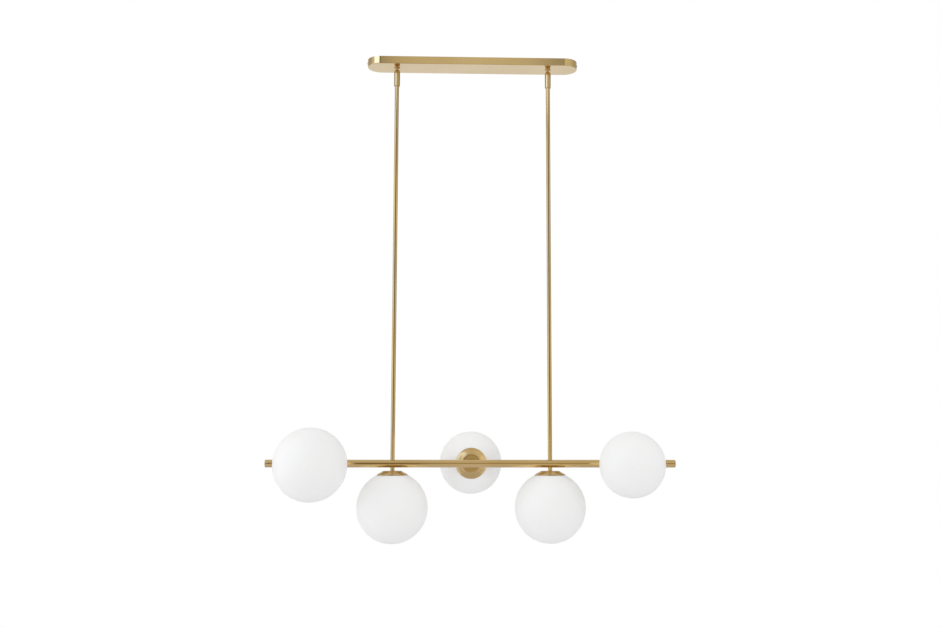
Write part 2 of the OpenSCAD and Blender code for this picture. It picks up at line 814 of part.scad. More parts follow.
canopy();
mounting_plate();
canopy_screws();
ground_screw();
terminal_block();
canopy_wires();
ball_stem_left();
ball_stem_right();
stem_washers();
stem_nuts();
swivel_socket_left();
swivel_socket_right();
swivel_bushes();
rod_left_upper();
rod_left_middle();
rod_left_lower();
rod_right_upper();
rod_right_middle();
rod_right_lower();
rod_couplers();
rod_feet();
rod_wire();
bar();
bar_end_caps();
joint_blocks();
bar_wires();
arm_nipples();
cup_nuts();
screw_bosses();
gaskets();
for (arm = ARMS) {
    arm_stem(arm);
    cup(arm);
    lampholder(arm);
    bulb(arm);
    globe(arm);
    globe_ring(arm);
}
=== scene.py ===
# %% [markdown]
# A linear chandelier hangs from a long brass canopy: two rods on ball swivels carry a
# brass bar, and five opal glass globes grow out of the bar to the front, to the back and
# downwards. Every solid part of it already exists as an exact model, with its moving
# bodies. This lesson dresses that model: it sets up a small photo studio round it, gives
# each part its real finish, and adds the fine work that the solids leave out, such as
# threads, screw slots, bulbs and sockets.
#
# The first cell loads the model as a fixed frame. Nothing in the frame is moved or
# reshaped afterwards, so all new pieces can be placed by measuring it.

# %% Load the frame
import math

import bpy
from mathutils import Matrix, Vector


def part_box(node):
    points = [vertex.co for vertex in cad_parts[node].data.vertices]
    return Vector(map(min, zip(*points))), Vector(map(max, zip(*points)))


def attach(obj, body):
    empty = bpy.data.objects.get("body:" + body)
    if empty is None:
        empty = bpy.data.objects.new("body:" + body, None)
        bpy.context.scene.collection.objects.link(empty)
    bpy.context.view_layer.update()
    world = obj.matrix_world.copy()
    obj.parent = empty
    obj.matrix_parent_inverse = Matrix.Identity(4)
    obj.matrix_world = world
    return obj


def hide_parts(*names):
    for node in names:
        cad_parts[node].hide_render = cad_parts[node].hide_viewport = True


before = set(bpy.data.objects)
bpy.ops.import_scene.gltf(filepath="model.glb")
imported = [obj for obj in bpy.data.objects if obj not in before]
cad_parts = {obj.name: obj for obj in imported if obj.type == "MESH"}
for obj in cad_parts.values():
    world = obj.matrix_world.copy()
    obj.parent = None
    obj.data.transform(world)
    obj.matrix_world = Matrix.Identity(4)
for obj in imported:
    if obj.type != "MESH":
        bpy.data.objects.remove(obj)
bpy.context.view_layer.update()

# %% [markdown]
# A few places are needed again and again: the axis of the bar, and for each arm its
# place on the bar and the way it points. The ways the arms point are listed. The places could
# be typed in as numbers too, but then they would go stale when the model changes, so they
# are measured on the frame's own parts.

# %% Measure the bar and the arms
MM = 0.001

ARM_TURNS = {
    "front_left": math.radians(90),
    "down_left": math.radians(180),
    "back_centre": math.radians(-90),
    "down_right": math.radians(180),
    "front_right": math.radians(90),
}


def middle(node):
    """Centre of a node's box."""
    low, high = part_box(node)
    return (low + high) / 2


def arm_frame(arm):
    """Takes a piece drawn along +Z from the bar's axis to its place on an arm."""
    foot = Vector((middle("stem_" + arm).x, 0, bar_axis.z))
    return Matrix.Translation(foot) @ Matrix.Rotation(ARM_TURNS[arm], 4, "X")


def reach(arm, node):
    """Nearest and farthest distance of a node from the bar's axis, along an arm."""
    to_arm = arm_frame(arm).inverted()
    along = [(to_arm @ corner).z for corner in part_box(node)]
    return min(along), max(along)


bar_axis = middle("bar")
print("bar axis at z =", round(bar_axis.z / MM, 2), "mm")
for arm in ARM_TURNS:
    print(arm, "at x =", round(middle("stem_" + arm).x / MM, 1), "mm")

# %% [markdown]
# The camera stands about 2.4 m in front of the bar, a little above it and left of the
# middle, and looks slightly up, so that the underside of the canopy shows. A target with
# a tracking constraint would be the easy way to aim it. Plain angles are used instead,
# because the picture needs a fixed horizon. The lens is given by its focal length in
# picture pixels, which is how a camera is usually measured from a photograph.

# %% Camera
PICTURE_WIDTH = 940
SENSOR_WIDTH = 36.0
focal_pixels = 1022.87
centre_pixel_x = 485.0
eye = Vector((-0.0513, -2.3943, bar_axis.z + 0.0696))
turn_right = 0.0343
tilt_up = 0.11622
roll = 0.00147

camera_data = bpy.data.cameras.new("camera")
camera_data.sensor_width = SENSOR_WIDTH
camera_data.lens = focal_pixels / PICTURE_WIDTH * SENSOR_WIDTH
camera_data.shift_x = (PICTURE_WIDTH / 2 - centre_pixel_x) / PICTURE_WIDTH
camera_data.clip_start = 0.01
camera = bpy.data.objects.new("camera", camera_data)
bpy.context.scene.collection.objects.link(camera)
camera.matrix_world = (
    Matrix.Translation(eye)
    @ Matrix.Rotation(-turn_right, 4, "Z")
    @ Matrix.Rotation(math.pi / 2 + tilt_up, 4, "X")
    @ Matrix.Rotation(roll, 4, "Z")
)
bpy.context.scene.camera = camera
print("lens:", round(camera_data.lens, 1), "mm, shift:", round(camera_data.shift_x, 4))

# %% [markdown]
# Small helpers keep the node trees readable. One adds a node with its settings and
# its constant inputs, one joins an output to an input by name, one starts a new
# material, and one ends it. Clicking nodes together in an editor would do the same, but
# only once, where one function here serves many finishes.

# %% Node helpers


def add_node(tree, kind, inputs=None, **settings):
    """Adds a shader node, sets its options and the values of its unlinked inputs."""
    made = tree.nodes.new(kind)
    for option, value in settings.items():
        setattr(made, option, value)
    for socket, value in (inputs or {}).items():
        made.inputs[socket].default_value = value
    return made


def join(tree, source, target, out=0, into=0):
    """Links an output of one node to an input of another."""
    tree.links.new(source.outputs[out], target.inputs[into])


def new_tree(name):
    """A new material with an empty node tree."""
    material = bpy.data.materials.new(name)
    material.use_nodes = True
    material.node_tree.nodes.clear()
    return material, material.node_tree


def show(tree, shader):
    """Makes a shader the surface of its material."""
    join(tree, shader, add_node(tree, "ShaderNodeOutputMaterial"))


print("node helpers ready")

# %% [markdown]
# The floor is a plain pale sheet as far below the lamp as a real floor would be. It is
# lit like everything else, so it catches the lamp's shadow. To the camera alone it gets a
# little extra brightness, which lifts it to white without putting more light on the lamp.
# The metal sees it as one even pale tone. It could show the lit floor itself, but then
# the undersides of the cups and of the bar would change with every shadow on it.

# %% Floor
floor_height = -2.4
floor_size = 11.0
floor_grey = 0.90
floor_lift = 0.20
floor_in_metal = 0.60
floor_tint_in_metal = (1, 0.98, 1.12, 1)

bpy.ops.object.select_all(action="DESELECT")
bpy.ops.mesh.primitive_plane_add(size=floor_size, location=(0, 0, floor_height))
floor = bpy.context.active_object
floor.name = "floor"

floor_paint, tree = new_tree("floor_paint")
matt = add_node(tree, "ShaderNodeBsdfDiffuse", {"Color": (floor_grey, floor_grey, floor_grey, 1)})
lift = add_node(tree, "ShaderNodeEmission", {"Color": (1, 1, 1, 1)})
rays = add_node(tree, "ShaderNodeLightPath")
strength = add_node(tree, "ShaderNodeMath", {1: floor_lift}, operation="MULTIPLY")
both = add_node(tree, "ShaderNodeAddShader")
join(tree, rays, strength, "Is Camera Ray")
join(tree, strength, lift, 0, "Strength")
glow = {"Strength": floor_in_metal, "Color": floor_tint_in_metal}
in_metal = add_node(tree, "ShaderNodeEmission", glow)
metal_or_eye = add_node(tree, "ShaderNodeMixShader")
join(tree, matt, both, 0, 0)
join(tree, lift, both, 0, 1)
join(tree, rays, metal_or_eye, "Is Glossy Ray")
join(tree, both, metal_or_eye, 0, 1)
join(tree, in_metal, metal_or_eye, 0, 2)
show(tree, metal_or_eye)
floor.data.materials.append(floor_paint)
print("floor at", floor_height, "m")

# %% [markdown]
# Brass shows its surroundings more than itself, so the studio round it has to be
# designed. To the metal it is a soft grey room, built up from lobes: each is a brightness
# that fades in around one direction. A picture of a real studio would do the same at once,
# but lobes need no file and can be tuned one by one. They make a bright wall behind, a
# lighter front, a light side on the left and a darker corner on the right, so that round
# rods get a light edge, and two narrow dark lines that only the canopy's round ends catch.

# %% Lobes of the studio
room_grey = 0.45
room_lobes = {
    "wall behind": ((0, 1, -0.15), 0.76, 0.96, 0.41),
    "front": ((0, -1, 0.35), -0.1, 0.5, 0.215),
    "dark line on the left": ((-0.147, -0.928, 0.342), 0.9945, 0.9988, -0.5),
    "dark line on the right": ((0.163, -0.925, 0.342), 0.9945, 0.999, -0.3),
    "light corner, high on the right": ((0.558, -0.714, 0.423), 0.866, 0.966, 0.14),
    "light side on the left": ((-0.84, -0.54, -0.05), 0.70, 0.93, 0.14),
    "dark corner on the right": ((0.75, -0.65, -0.22), 0.60, 0.95, -0.18),
    "darker ceiling": ((0, 0, 1), 0.75, 0.97, -0.12),
    "light strip over the bar": ((0, 0.45, 0.9), 0.87, 0.97, 0.3),
}


def lobe(tree, direction, towards, start, full, gain):
    """Brightness round one direction: it starts at one cosine and is full at the other."""
    aim = Vector(towards).normalized()
    facing = add_node(tree, "ShaderNodeVectorMath", {1: aim}, operation="DOT_PRODUCT")
    ends = {"From Min": start, "From Max": full, "To Min": 0.0, "To Max": gain}
    fade = add_node(tree, "ShaderNodeMapRange", ends, interpolation_type="SMOOTHSTEP")
    join(tree, direction, facing, "Generated", 0)
    join(tree, facing, fade, "Value", "Value")
    return fade


studio = bpy.data.worlds.new("studio")
bpy.context.scene.world = studio
studio.use_nodes = True
tree = studio.node_tree
tree.nodes.clear()
direction = add_node(tree, "ShaderNodeTexCoord")
total = add_node(tree, "ShaderNodeValue")
total.outputs[0].default_value = room_grey
for towards, start, full, gain in room_lobes.values():
    more = add_node(tree, "ShaderNodeMath", operation="ADD")
    join(tree, total, more, 0, 0)
    join(tree, lobe(tree, direction, towards, start, full, gain), more, 0, 1)
    total = more
print("studio: room", room_grey, "with", len(room_lobes), "lobes")

# %% [markdown]
# The room is slightly warm, and its left side and the low part behind are cool, as
# daylight from a window would be. One sky could serve every ray, but here each kind of ray
# gets its own: the camera sees plain white, reflections see the room, and all other light
# comes from an even, soft sky, so the white glass stays almost shadowless.

# %% What each ray sees
soft_sky = 0.85
sky_slope = 0.12
lighter_side = ((-0.85, -0.45, 0.25), -0.9, 0.9, sky_slope)
warm_tint = (1, 0.985, 0.96, 1)
cool_tint = (0.78, 0.96, 1.45, 1)
cool_left = ((-0.84, -0.52, 0.02), 0.84, 0.96, 1.0)
cool_behind = ((0, 0.94, -0.34), 0.80, 0.96, 0.3)

room = add_node(tree, "ShaderNodeBackground")
tint = add_node(tree, "ShaderNodeMix", {6: warm_tint, 7: cool_tint}, data_type="RGBA")
cool_share = add_node(tree, "ShaderNodeMath", operation="MAXIMUM")
join(tree, lobe(tree, direction, *cool_left), cool_share)
join(tree, lobe(tree, direction, *cool_behind), cool_share, 0, 1)
join(tree, cool_share, tint)
tree.links.new(tint.outputs[2], room.inputs["Color"])
join(tree, total, room, 0, "Strength")

sky = add_node(tree, "ShaderNodeBackground", {"Color": (1, 1, 1, 1)})
sky_level = add_node(tree, "ShaderNodeMath", {0: soft_sky}, operation="ADD")
join(tree, lobe(tree, direction, *lighter_side), sky_level, 0, 1)
join(tree, sky_level, sky, 0, "Strength")

white = add_node(tree, "ShaderNodeBackground", {"Color": (1, 1, 1, 1), "Strength": 1.0})
rays = add_node(tree, "ShaderNodeLightPath")
sees_room = add_node(tree, "ShaderNodeMath", operation="MAXIMUM")
join(tree, rays, sees_room, "Is Glossy Ray", 0)
join(tree, rays, sees_room, "Is Transmission Ray", 1)
metal_or_sky = add_node(tree, "ShaderNodeMixShader")
join(tree, sees_room, metal_or_sky)
join(tree, sky, metal_or_sky, 0, 1)
join(tree, room, metal_or_sky, 0, 2)
camera_or_rest = add_node(tree, "ShaderNodeMixShader")
join(tree, rays, camera_or_rest, "Is Camera Ray")
join(tree, metal_or_sky, camera_or_rest, 0, 1)
join(tree, white, camera_or_rest, 0, 2)
join(tree, camera_or_rest, add_node(tree, "ShaderNodeOutputWorld"))
bpy.context.scene.view_settings.view_transform = "Standard"
print("studio: sky", soft_sky, "sloping by", sky_slope)

# %% [markdown]
# Two soft boxes finish the studio. The key stands on the left, level with the middle of
# the rods: it models the globes and draws the pale lines on the rods. The fill on the
# right is smaller and weaker. A sun or a point lamp would be simpler, but a lamp with a
# size gives soft edges in the glass and a shape in the metal.

# %% Soft boxes
lamp_target = Vector((0, 0, -0.7))


def soft_box(name, place, width, height, power):
    """An area lamp that faces the chandelier."""
    data = bpy.data.lights.new(name, "AREA")
    data.shape = "RECTANGLE"
    data.size = width
    data.size_y = height
    data.energy = power
    box = bpy.data.objects.new(name, data)
    box.location = place
    box.rotation_euler = (lamp_target - Vector(place)).to_track_quat("-Z", "Y").to_euler()
    bpy.context.scene.collection.objects.link(box)
    print(name, "at", place, "power", power, "W")


soft_box("key_box", (-2.7, -0.5, -0.5), 2.2, 2.4, 10)
soft_box("fill_box", (2.6, -1.6, -0.3), 1.6, 1.8, 4)

# %% [markdown]
# Round metal looks flat without something to show, so a photographer sets up cards. Four
# of them stand behind the camera, two low and two high. The dark pair on the left gives
# the left rod its core and the bar's left half its dark line. The grey pair on the right
# does the same for the right rod and the right half, which are paler. A white strip high
# on the left draws the pale block on the canopy's round end and the arc on the cups. All
# of them could be painted on the sky, but a card at a real distance is seen by some parts
# and missed by others: the canopy looks over the four, and the rods look under the strip.
# Only reflections see the cards here, so they neither light nor shade the glass.

# %% Cards
CARDS_Y = -3.2
LOW_PAIR = (-2.36, -0.90)
HIGH_PAIR = (-0.90, 0.94)
GREY_SIDE = (-0.2, 2.6)


def card(name, place, size, turn, colour):
    """An upright glowing card that only reflections see."""
    bpy.ops.object.select_all(action="DESELECT")
    bpy.ops.mesh.primitive_plane_add(size=1, location=place, rotation=(math.pi / 2, 0, turn))
    made = bpy.context.active_object
    made.name = name
    made.scale = (size[0], size[1], 1)
    paint, tree = new_tree(name + "_paint")
    show(tree, add_node(tree, "ShaderNodeEmission", {"Color": colour, "Strength": 1.0}))
    made.data.materials.append(paint)
    made.visible_camera = False
    made.visible_diffuse = False
    made.visible_shadow = False
    made.visible_transmission = False
    print(name, "at", [round(part, 3) for part in place], "m")


def card_behind_camera(name, across, upright, colour):
    """A card that faces the chandelier, between two widths and two heights in metres."""
    place = (sum(across) / 2, CARDS_Y, sum(upright) / 2)
    card(name, place, (across[1] - across[0], upright[1] - upright[0]), 0, colour)


card_behind_camera("low_dark_card", (-0.95, -0.2), LOW_PAIR, (0.38, 0.30, 0.185, 1))
card_behind_camera("low_grey_card", GREY_SIDE, LOW_PAIR, (0.62, 0.56, 0.44, 1))
card_behind_camera("high_dark_card", (-1.4, -0.2), HIGH_PAIR, (0.12, 0.09, 0.05, 1))
card_behind_camera("high_grey_card", GREY_SIDE, HIGH_PAIR, (0.33, 0.28, 0.19, 1))
card("white_strip", (-2.04, -2.31, 1.35), (2.3, 0.9), math.radians(-38), (1.45, 1.8, 2.9, 1))

# %% [markdown]
# Satin brass is polished and then brushed, which leaves hair lines in one direction:
# along a drawn tube, round a turned rod, in circles on a spun cup. A photograph of brushed
# metal would do, but it needs a flat unwrapped surface. Stretched noise needs only the
# place of a point, so it fits any solid: a high scale across the lines, a low one along
# them. For the circles the distance from the cup's axis takes the place of one axis.

# %% Brush lines
HAIR_LINES = 2200.0
ALONG_LINES = 22.0


def straight_lines(tree, place, axis):
    """Coordinates whose noise runs in lines along one axis."""
    scale = [HAIR_LINES] * 3
    scale["XYZ".index(axis)] = ALONG_LINES
    mapping = add_node(tree, "ShaderNodeMapping", {"Scale": scale})
    join(tree, place, mapping, "Object", "Vector")
    return mapping


def round_lines(tree, place, centre, axis):
    """Coordinates whose noise runs in circles round an axis through a centre."""
    keep = [1.0, 1.0, 1.0]
    keep["XYZ".index(axis)] = 0.0
    centred = add_node(tree, "ShaderNodeVectorMath", {1: centre}, operation="SUBTRACT")
    flat = add_node(tree, "ShaderNodeVectorMath", {1: keep}, operation="MULTIPLY")
    radius = add_node(tree, "ShaderNodeVectorMath", operation="LENGTH")
    fine = add_node(tree, "ShaderNodeMath", {1: HAIR_LINES}, operation="MULTIPLY")
    slow = add_node(tree, "ShaderNodeVectorMath", {"Scale": ALONG_LINES}, operation="SCALE")
    split = add_node(tree, "ShaderNodeSeparateXYZ")
    lines = add_node(tree, "ShaderNodeCombineXYZ")
    join(tree, place, centred, "Object", 0)
    join(tree, centred, flat)
    join(tree, flat, radius)
    join(tree, radius, fine, "Value", 0)
    join(tree, centred, slow)
    join(tree, slow, split)
    join(tree, fine, lines, 0, "X")
    join(tree, split, lines, "X", "Y")
    join(tree, split, lines, "Z", "Z")
    return lines


print("brush:", HAIR_LINES / ALONG_LINES, "times finer across than along")

# %% [markdown]
# All metal of the light shares one shader. The brush moves the roughness and the bump a
# little, a broad second noise lets the tone drift, and a thin clear coat stands for the
# lacquer. The corners get a tone of their own: a painted highlight where it is lighter and
# painted shade where it is darker. Corners could be painted by hand, but a bevel probe finds
# them by itself on every solid: it compares the real surface with a rounded one. A spun cup
# also keeps faint rings from the spinning tool, which are the same brush drawn much wider.

# %% Metal shader
TONE_BAND = (0.35, 0.65)
BRUSH_BAND = (0.3, 0.7)
BRUSH_STRENGTH = 0.2
CORNER_SOFTNESS = 0.06
CORNER_SHARE = 0.6
RING_STRETCH = (0.25, 0.02, 0.02)
RING_STRENGTH = 0.5
LACQUER_ROUGHNESS = 0.12


def corner_mask(tree, width, softness):
    """One at the corners of a solid and zero on its open surfaces."""
    rounded = add_node(tree, "ShaderNodeBevel", {"Radius": width}, samples=4)
    shape = add_node(tree, "ShaderNodeNewGeometry")
    agree = add_node(tree, "ShaderNodeVectorMath", operation="DOT_PRODUCT")
    mask = add_node(tree, "ShaderNodeMapRange", {"From Min": 1.0, "From Max": 1.0 - softness})
    join(tree, rounded, agree, 0, 0)
    join(tree, shape, agree, "Normal", 1)
    join(tree, agree, mask, "Value", "Value")
    return mask, rounded


def band(tree, source, limits, results=(0.0, 1.0)):
    """Stretches the part of a noise between two limits over a range of results."""
    ends = {"From Min": limits[0], "From Max": limits[1], "To Min": results[0], "To Max": results[1]}
    stretched = add_node(tree, "ShaderNodeMapRange", ends)
    join(tree, source, stretched, 0, "Value")
    return stretched


def metal_shader(tree, tones, roughness, lines, patches, depths, lacquer=0.0, ring_depth=0.0):
    """Joins tone drift, brushed roughness, relief and corners to one metal shader."""
    deep, light, corner = tones
    line_depth, corner_width = depths
    brushed = add_node(tree, "ShaderNodeTexNoise", {"Scale": 1.0, "Detail": 3.0, "Roughness": 0.6})
    drift = add_node(tree, "ShaderNodeTexNoise", {"Scale": patches, "Detail": 4.0})
    place = add_node(tree, "ShaderNodeTexCoord")
    join(tree, lines, brushed, 0, "Vector")
    join(tree, place, drift, "Object", "Vector")
    tone = add_node(tree, "ShaderNodeMix", {6: deep, 7: light}, data_type="RGBA")
    join(tree, band(tree, drift, TONE_BAND), tone, 0, 0)
    # Painted light at the corners: the corner tone is mixed into the metal where the bevel probe
    # finds a corner.
    mask, rounded = corner_mask(tree, corner_width, CORNER_SOFTNESS)
    share = add_node(tree, "ShaderNodeMath", {1: CORNER_SHARE}, operation="MULTIPLY")
    painted_corner = add_node(tree, "ShaderNodeMix", {7: corner}, data_type="RGBA")
    join(tree, mask, share)
    join(tree, share, painted_corner)
    tree.links.new(tone.outputs[2], painted_corner.inputs[6])
    relief = add_node(tree, "ShaderNodeBump", {"Strength": BRUSH_STRENGTH, "Distance": line_depth})
    join(tree, brushed, relief, 0, "Height")
    join(tree, rounded, relief, 0, "Normal")
    if ring_depth:
        wider = add_node(tree, "ShaderNodeVectorMath", {1: RING_STRETCH}, operation="MULTIPLY")
        rings = add_node(tree, "ShaderNodeTexNoise", {"Scale": 1.0, "Detail": 1.0})
        waves = add_node(tree, "ShaderNodeBump", {"Strength": RING_STRENGTH, "Distance": ring_depth})
        join(tree, lines, wider)
        join(tree, wider, rings, 0, "Vector")
        join(tree, rings, waves, 0, "Height")
        join(tree, relief, waves, 0, "Normal")
        relief = waves
    coat = {"Metallic": 1.0, "Coat Weight": lacquer, "Coat Roughness": LACQUER_ROUGHNESS}
    metal = add_node(tree, "ShaderNodeBsdfPrincipled", coat)
    tree.links.new(painted_corner.outputs[2], metal.inputs["Base Color"])
    join(tree, band(tree, brushed, BRUSH_BAND, roughness), metal, 0, "Roughness")
    join(tree, relief, metal, 0, "Normal")
    show(tree, metal)


print("metal shader ready")

# %% [markdown]
# Tubes, rods and cups are one brass with a deep, a light and a corner tone each; rods and
# cups are painted a shade deeper, as painted shade. Drawn pieces get lighter corners, a
# painted highlight, and cups darker ones, painted shade. One brass could serve for all, but
# then the slim rods would look paler than the bar, and the cups would lose their edges.

# %% Brass finishes
# The tubes' third tone is lighter than the brass: a painted highlight on their corners.
TUBE_TONES = ((0.73, 0.515, 0.20, 1), (0.79, 0.57, 0.245, 1), (0.90, 0.74, 0.46, 1))
# The rods are the bar's brass painted a shade deeper, as painted shade; their lighter corner tone is
# a painted highlight.
ROD_TONES_WITH_PAINTED_LIGHT = ((0.64, 0.455, 0.175, 1), (0.70, 0.505, 0.212, 1), (0.80, 0.66, 0.41, 1))
# The cups are the bar's brass painted a shade deeper, and their dark corner tone outlines rims and
# steps: painted shade.
CUP_TONES_WITH_PAINTED_SHADE = ((0.67, 0.465, 0.175, 1), (0.73, 0.52, 0.215, 1), (0.42, 0.29, 0.11, 1))
BRASS_PATCHES = 9.0
BRASS_LACQUER = 0.7
LINE_DEPTH = 0.002 * MM
DRAWN_CORNER = 0.25 * MM
SPUN_CORNER = 0.9 * MM
SPUN_RINGS = 0.05 * MM


def drawn_brass(name, axis, tones, roughness):
    """Satin brass that is brushed along an axis."""
    material, tree = new_tree(name)
    lines = straight_lines(tree, add_node(tree, "ShaderNodeTexCoord"), axis)
    depths = (LINE_DEPTH, DRAWN_CORNER)
    metal_shader(tree, tones, roughness, lines, BRASS_PATCHES, depths, BRASS_LACQUER)
    print("drawn brass:", name)
    return material


def spun_brass(name, axis, centre, tones, roughness):
    """Satin brass that is brushed in circles round an axis through a centre."""
    material, tree = new_tree(name)
    lines = round_lines(tree, add_node(tree, "ShaderNodeTexCoord"), centre, axis)
    depths = (LINE_DEPTH, SPUN_CORNER)
    metal_shader(tree, tones, roughness, lines, BRASS_PATCHES, depths, BRASS_LACQUER, SPUN_RINGS)
    print("spun brass:", name)
    return material


brass_along_x = drawn_brass("brass_drawn_along_the_bar", "X", TUBE_TONES, (0.11, 0.19))
brass_along_z = drawn_brass("brass_drawn_along_the_rods", "Z", ROD_TONES_WITH_PAINTED_LIGHT, (0.08, 0.14))
brass_canopy = drawn_brass("brass_brushed_canopy", "X", TUBE_TONES, (0.05, 0.10))
brass_cups = {}
for arm in ARM_TURNS:
    arm_axis = "Z" if arm.startswith("down") else "Y"
    finish = "brass_spun_cup_" + arm
    brass_cups[arm] = spun_brass(finish, arm_axis, middle("cup_" + arm), CUP_TONES_WITH_PAINTED_SHADE, (0.22, 0.30))

# %% [markdown]
# Opal glass is blown in three layers, clear outside and milky within, and its surface
# here is satin. It could be made of real layers of transparent glass, which is slow and
# noisy. The milk lets light spread a few millimetres under the skin, so a white base with
# some scattering gives the same soft edge. A faint broad wave in the surface and in the
# thickness keeps it from looking like plastic.

# %% Opal glass
MILK_DEEP = (0.925, 0.922, 0.915, 1)
MILK_LIGHT = (0.955, 0.955, 0.95, 1)
SATIN_ROUGHNESS = (0.42, 0.52)
WAVE_DEPTH = 0.4 * MM
LIGHT_SPREAD = 3 * MM

opal_glass, tree = new_tree("opal_glass")
place = add_node(tree, "ShaderNodeTexCoord")
cloud = add_node(tree, "ShaderNodeTexNoise", {"Scale": 14.0, "Detail": 3.0})
wave = add_node(tree, "ShaderNodeTexNoise", {"Scale": 22.0, "Detail": 1.0})
milk = add_node(tree, "ShaderNodeMix", {6: MILK_DEEP, 7: MILK_LIGHT}, data_type="RGBA")
relief = add_node(tree, "ShaderNodeBump", {"Strength": 0.3, "Distance": WAVE_DEPTH})
under_skin = {
    "Subsurface Weight": 0.25,
    "Subsurface Scale": LIGHT_SPREAD,
    "Subsurface Radius": (1.0, 0.95, 0.9),
}
glass = add_node(tree, "ShaderNodeBsdfPrincipled", {"IOR": 1.45, **under_skin})
join(tree, place, cloud, "Object", "Vector")
join(tree, place, wave, "Object", "Vector")
join(tree, cloud, milk)
join(tree, wave, relief, 0, "Height")
tree.links.new(milk.outputs[2], glass.inputs["Base Color"])
join(tree, band(tree, cloud, (0.0, 1.0), SATIN_ROUGHNESS), glass, 0, "Roughness")
join(tree, relief, glass, 0, "Normal")
show(tree, glass)
print("opal glass: light spreads", LIGHT_SPREAD / MM, "mm under its skin")

# %% [markdown]
# The hidden hardware is zinc plated steel. A plain grey metal would pass in the dark of the
# canopy, but the real coat is slightly mottled, so it takes the metal shader with neutral
# tones, small patches and a coarser, less even brush, and no lacquer.

# %% Plated steel
# The third tone is lighter than the steel and goes to the corners: a painted highlight.
STEEL_TONES = ((0.50, 0.49, 0.46, 1), (0.65, 0.64, 0.61, 1), (0.76, 0.75, 0.73, 1))
STEEL_ROUGHNESS = (0.28, 0.46)
STEEL_PATCHES = 60.0
STEEL_DEPTHS = (0.03 * MM, 0.2 * MM)


def plated_steel(name, axis):
    """Zinc plated steel with its rolling lines along an axis."""
    material, tree = new_tree(name)
    lines = straight_lines(tree, add_node(tree, "ShaderNodeTexCoord"), axis)
    metal_shader(tree, STEEL_TONES, STEEL_ROUGHNESS, lines, STEEL_PATCHES, STEEL_DEPTHS)
    print("steel finish:", name)
    return material


steel_strip = plated_steel("steel_rolled_strip", "X")
steel_drawn_y = plated_steel("steel_drawn_across", "Y")
steel_drawn_z = plated_steel("steel_drawn_upright", "Z")


def arm_steel(arm):
    """The drawn steel whose lines run along an arm."""
    return steel_drawn_z if arm.startswith("down") else steel_drawn_y


# %% [markdown]
# The lampholders are steatite, a white unglazed ceramic with fine specks. Each of the soft
# and moulded parts could have its own node tree, but they differ mostly in tone, in gloss
# and in the size of their grain, so one function makes them all: ceramic, frosted glass,
# rubber, cable sheath and moulded plastic.

# %% Ceramic, rubber and plastics
SPECK_BAND = (0.32, 0.52)


def moulded(name, tone, dark_tone, grain, roughness, relief_depth, scatter):
    """A soft or moulded material with a fine grain in its tone, gloss and surface."""
    material, tree = new_tree(name)
    place = add_node(tree, "ShaderNodeTexCoord")
    speck = add_node(tree, "ShaderNodeTexNoise", {"Scale": grain, "Detail": 5.0, "Roughness": 0.65})
    shade = add_node(tree, "ShaderNodeMix", {6: dark_tone + (1,), 7: tone + (1,)}, data_type="RGBA")
    relief = add_node(tree, "ShaderNodeBump", {"Strength": 0.5, "Distance": relief_depth})
    under_skin = {"Subsurface Weight": scatter, "Subsurface Scale": 2 * MM}
    body = add_node(tree, "ShaderNodeBsdfPrincipled", under_skin)
    join(tree, place, speck, "Object", "Vector")
    join(tree, band(tree, speck, SPECK_BAND), shade)
    join(tree, speck, relief, 0, "Height")
    tree.links.new(shade.outputs[2], body.inputs["Base Color"])
    join(tree, band(tree, speck, (0.0, 1.0), roughness), body, 0, "Roughness")
    join(tree, relief, body, 0, "Normal")
    show(tree, body)
    print("moulded finish:", name)
    return material


# Each row holds tone, dark tone, grain, roughness, relief in metres, scatter.
MOULDED = {
    "unglazed_steatite": ((0.84, 0.82, 0.76), (0.62, 0.59, 0.52), 700, (0.42, 0.6), 0.02 * MM, 0.1),
    "frosted_bulb_glass": ((0.9, 0.9, 0.88), (0.84, 0.84, 0.82), 900, (0.4, 0.55), 0.01 * MM, 0.4),
    "silicone_rubber": ((0.72, 0.71, 0.68), (0.62, 0.61, 0.58), 1200, (0.5, 0.65), 0.015 * MM, 0.3),
    "cable_sheath": ((0.78, 0.76, 0.7), (0.7, 0.68, 0.61), 500, (0.38, 0.5), 0.02 * MM, 0.1),
    "terminal_plastic": ((0.83, 0.8, 0.7), (0.76, 0.72, 0.61), 1500, (0.42, 0.55), 0.02 * MM, 0.15),
}
ceramic, frosted, rubber, sheath, ivory = (moulded(name, *row) for name, row in MOULDED.items())

# %% [markdown]
# Now the frame is dressed. Faces could be given their finish one by one, but the model has
# one material slot per part, so a finish is a single assignment. The tubes take the
# straight brush, the cups and their stems take the circles of their own arm, and the
# hidden pieces take steel, ceramic and rubber.

# %% Dress the frame


def dress(names, finish):
    """Gives every named part of the frame one finish."""
    for name in names:
        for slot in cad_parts[name].material_slots:
            slot.material = finish


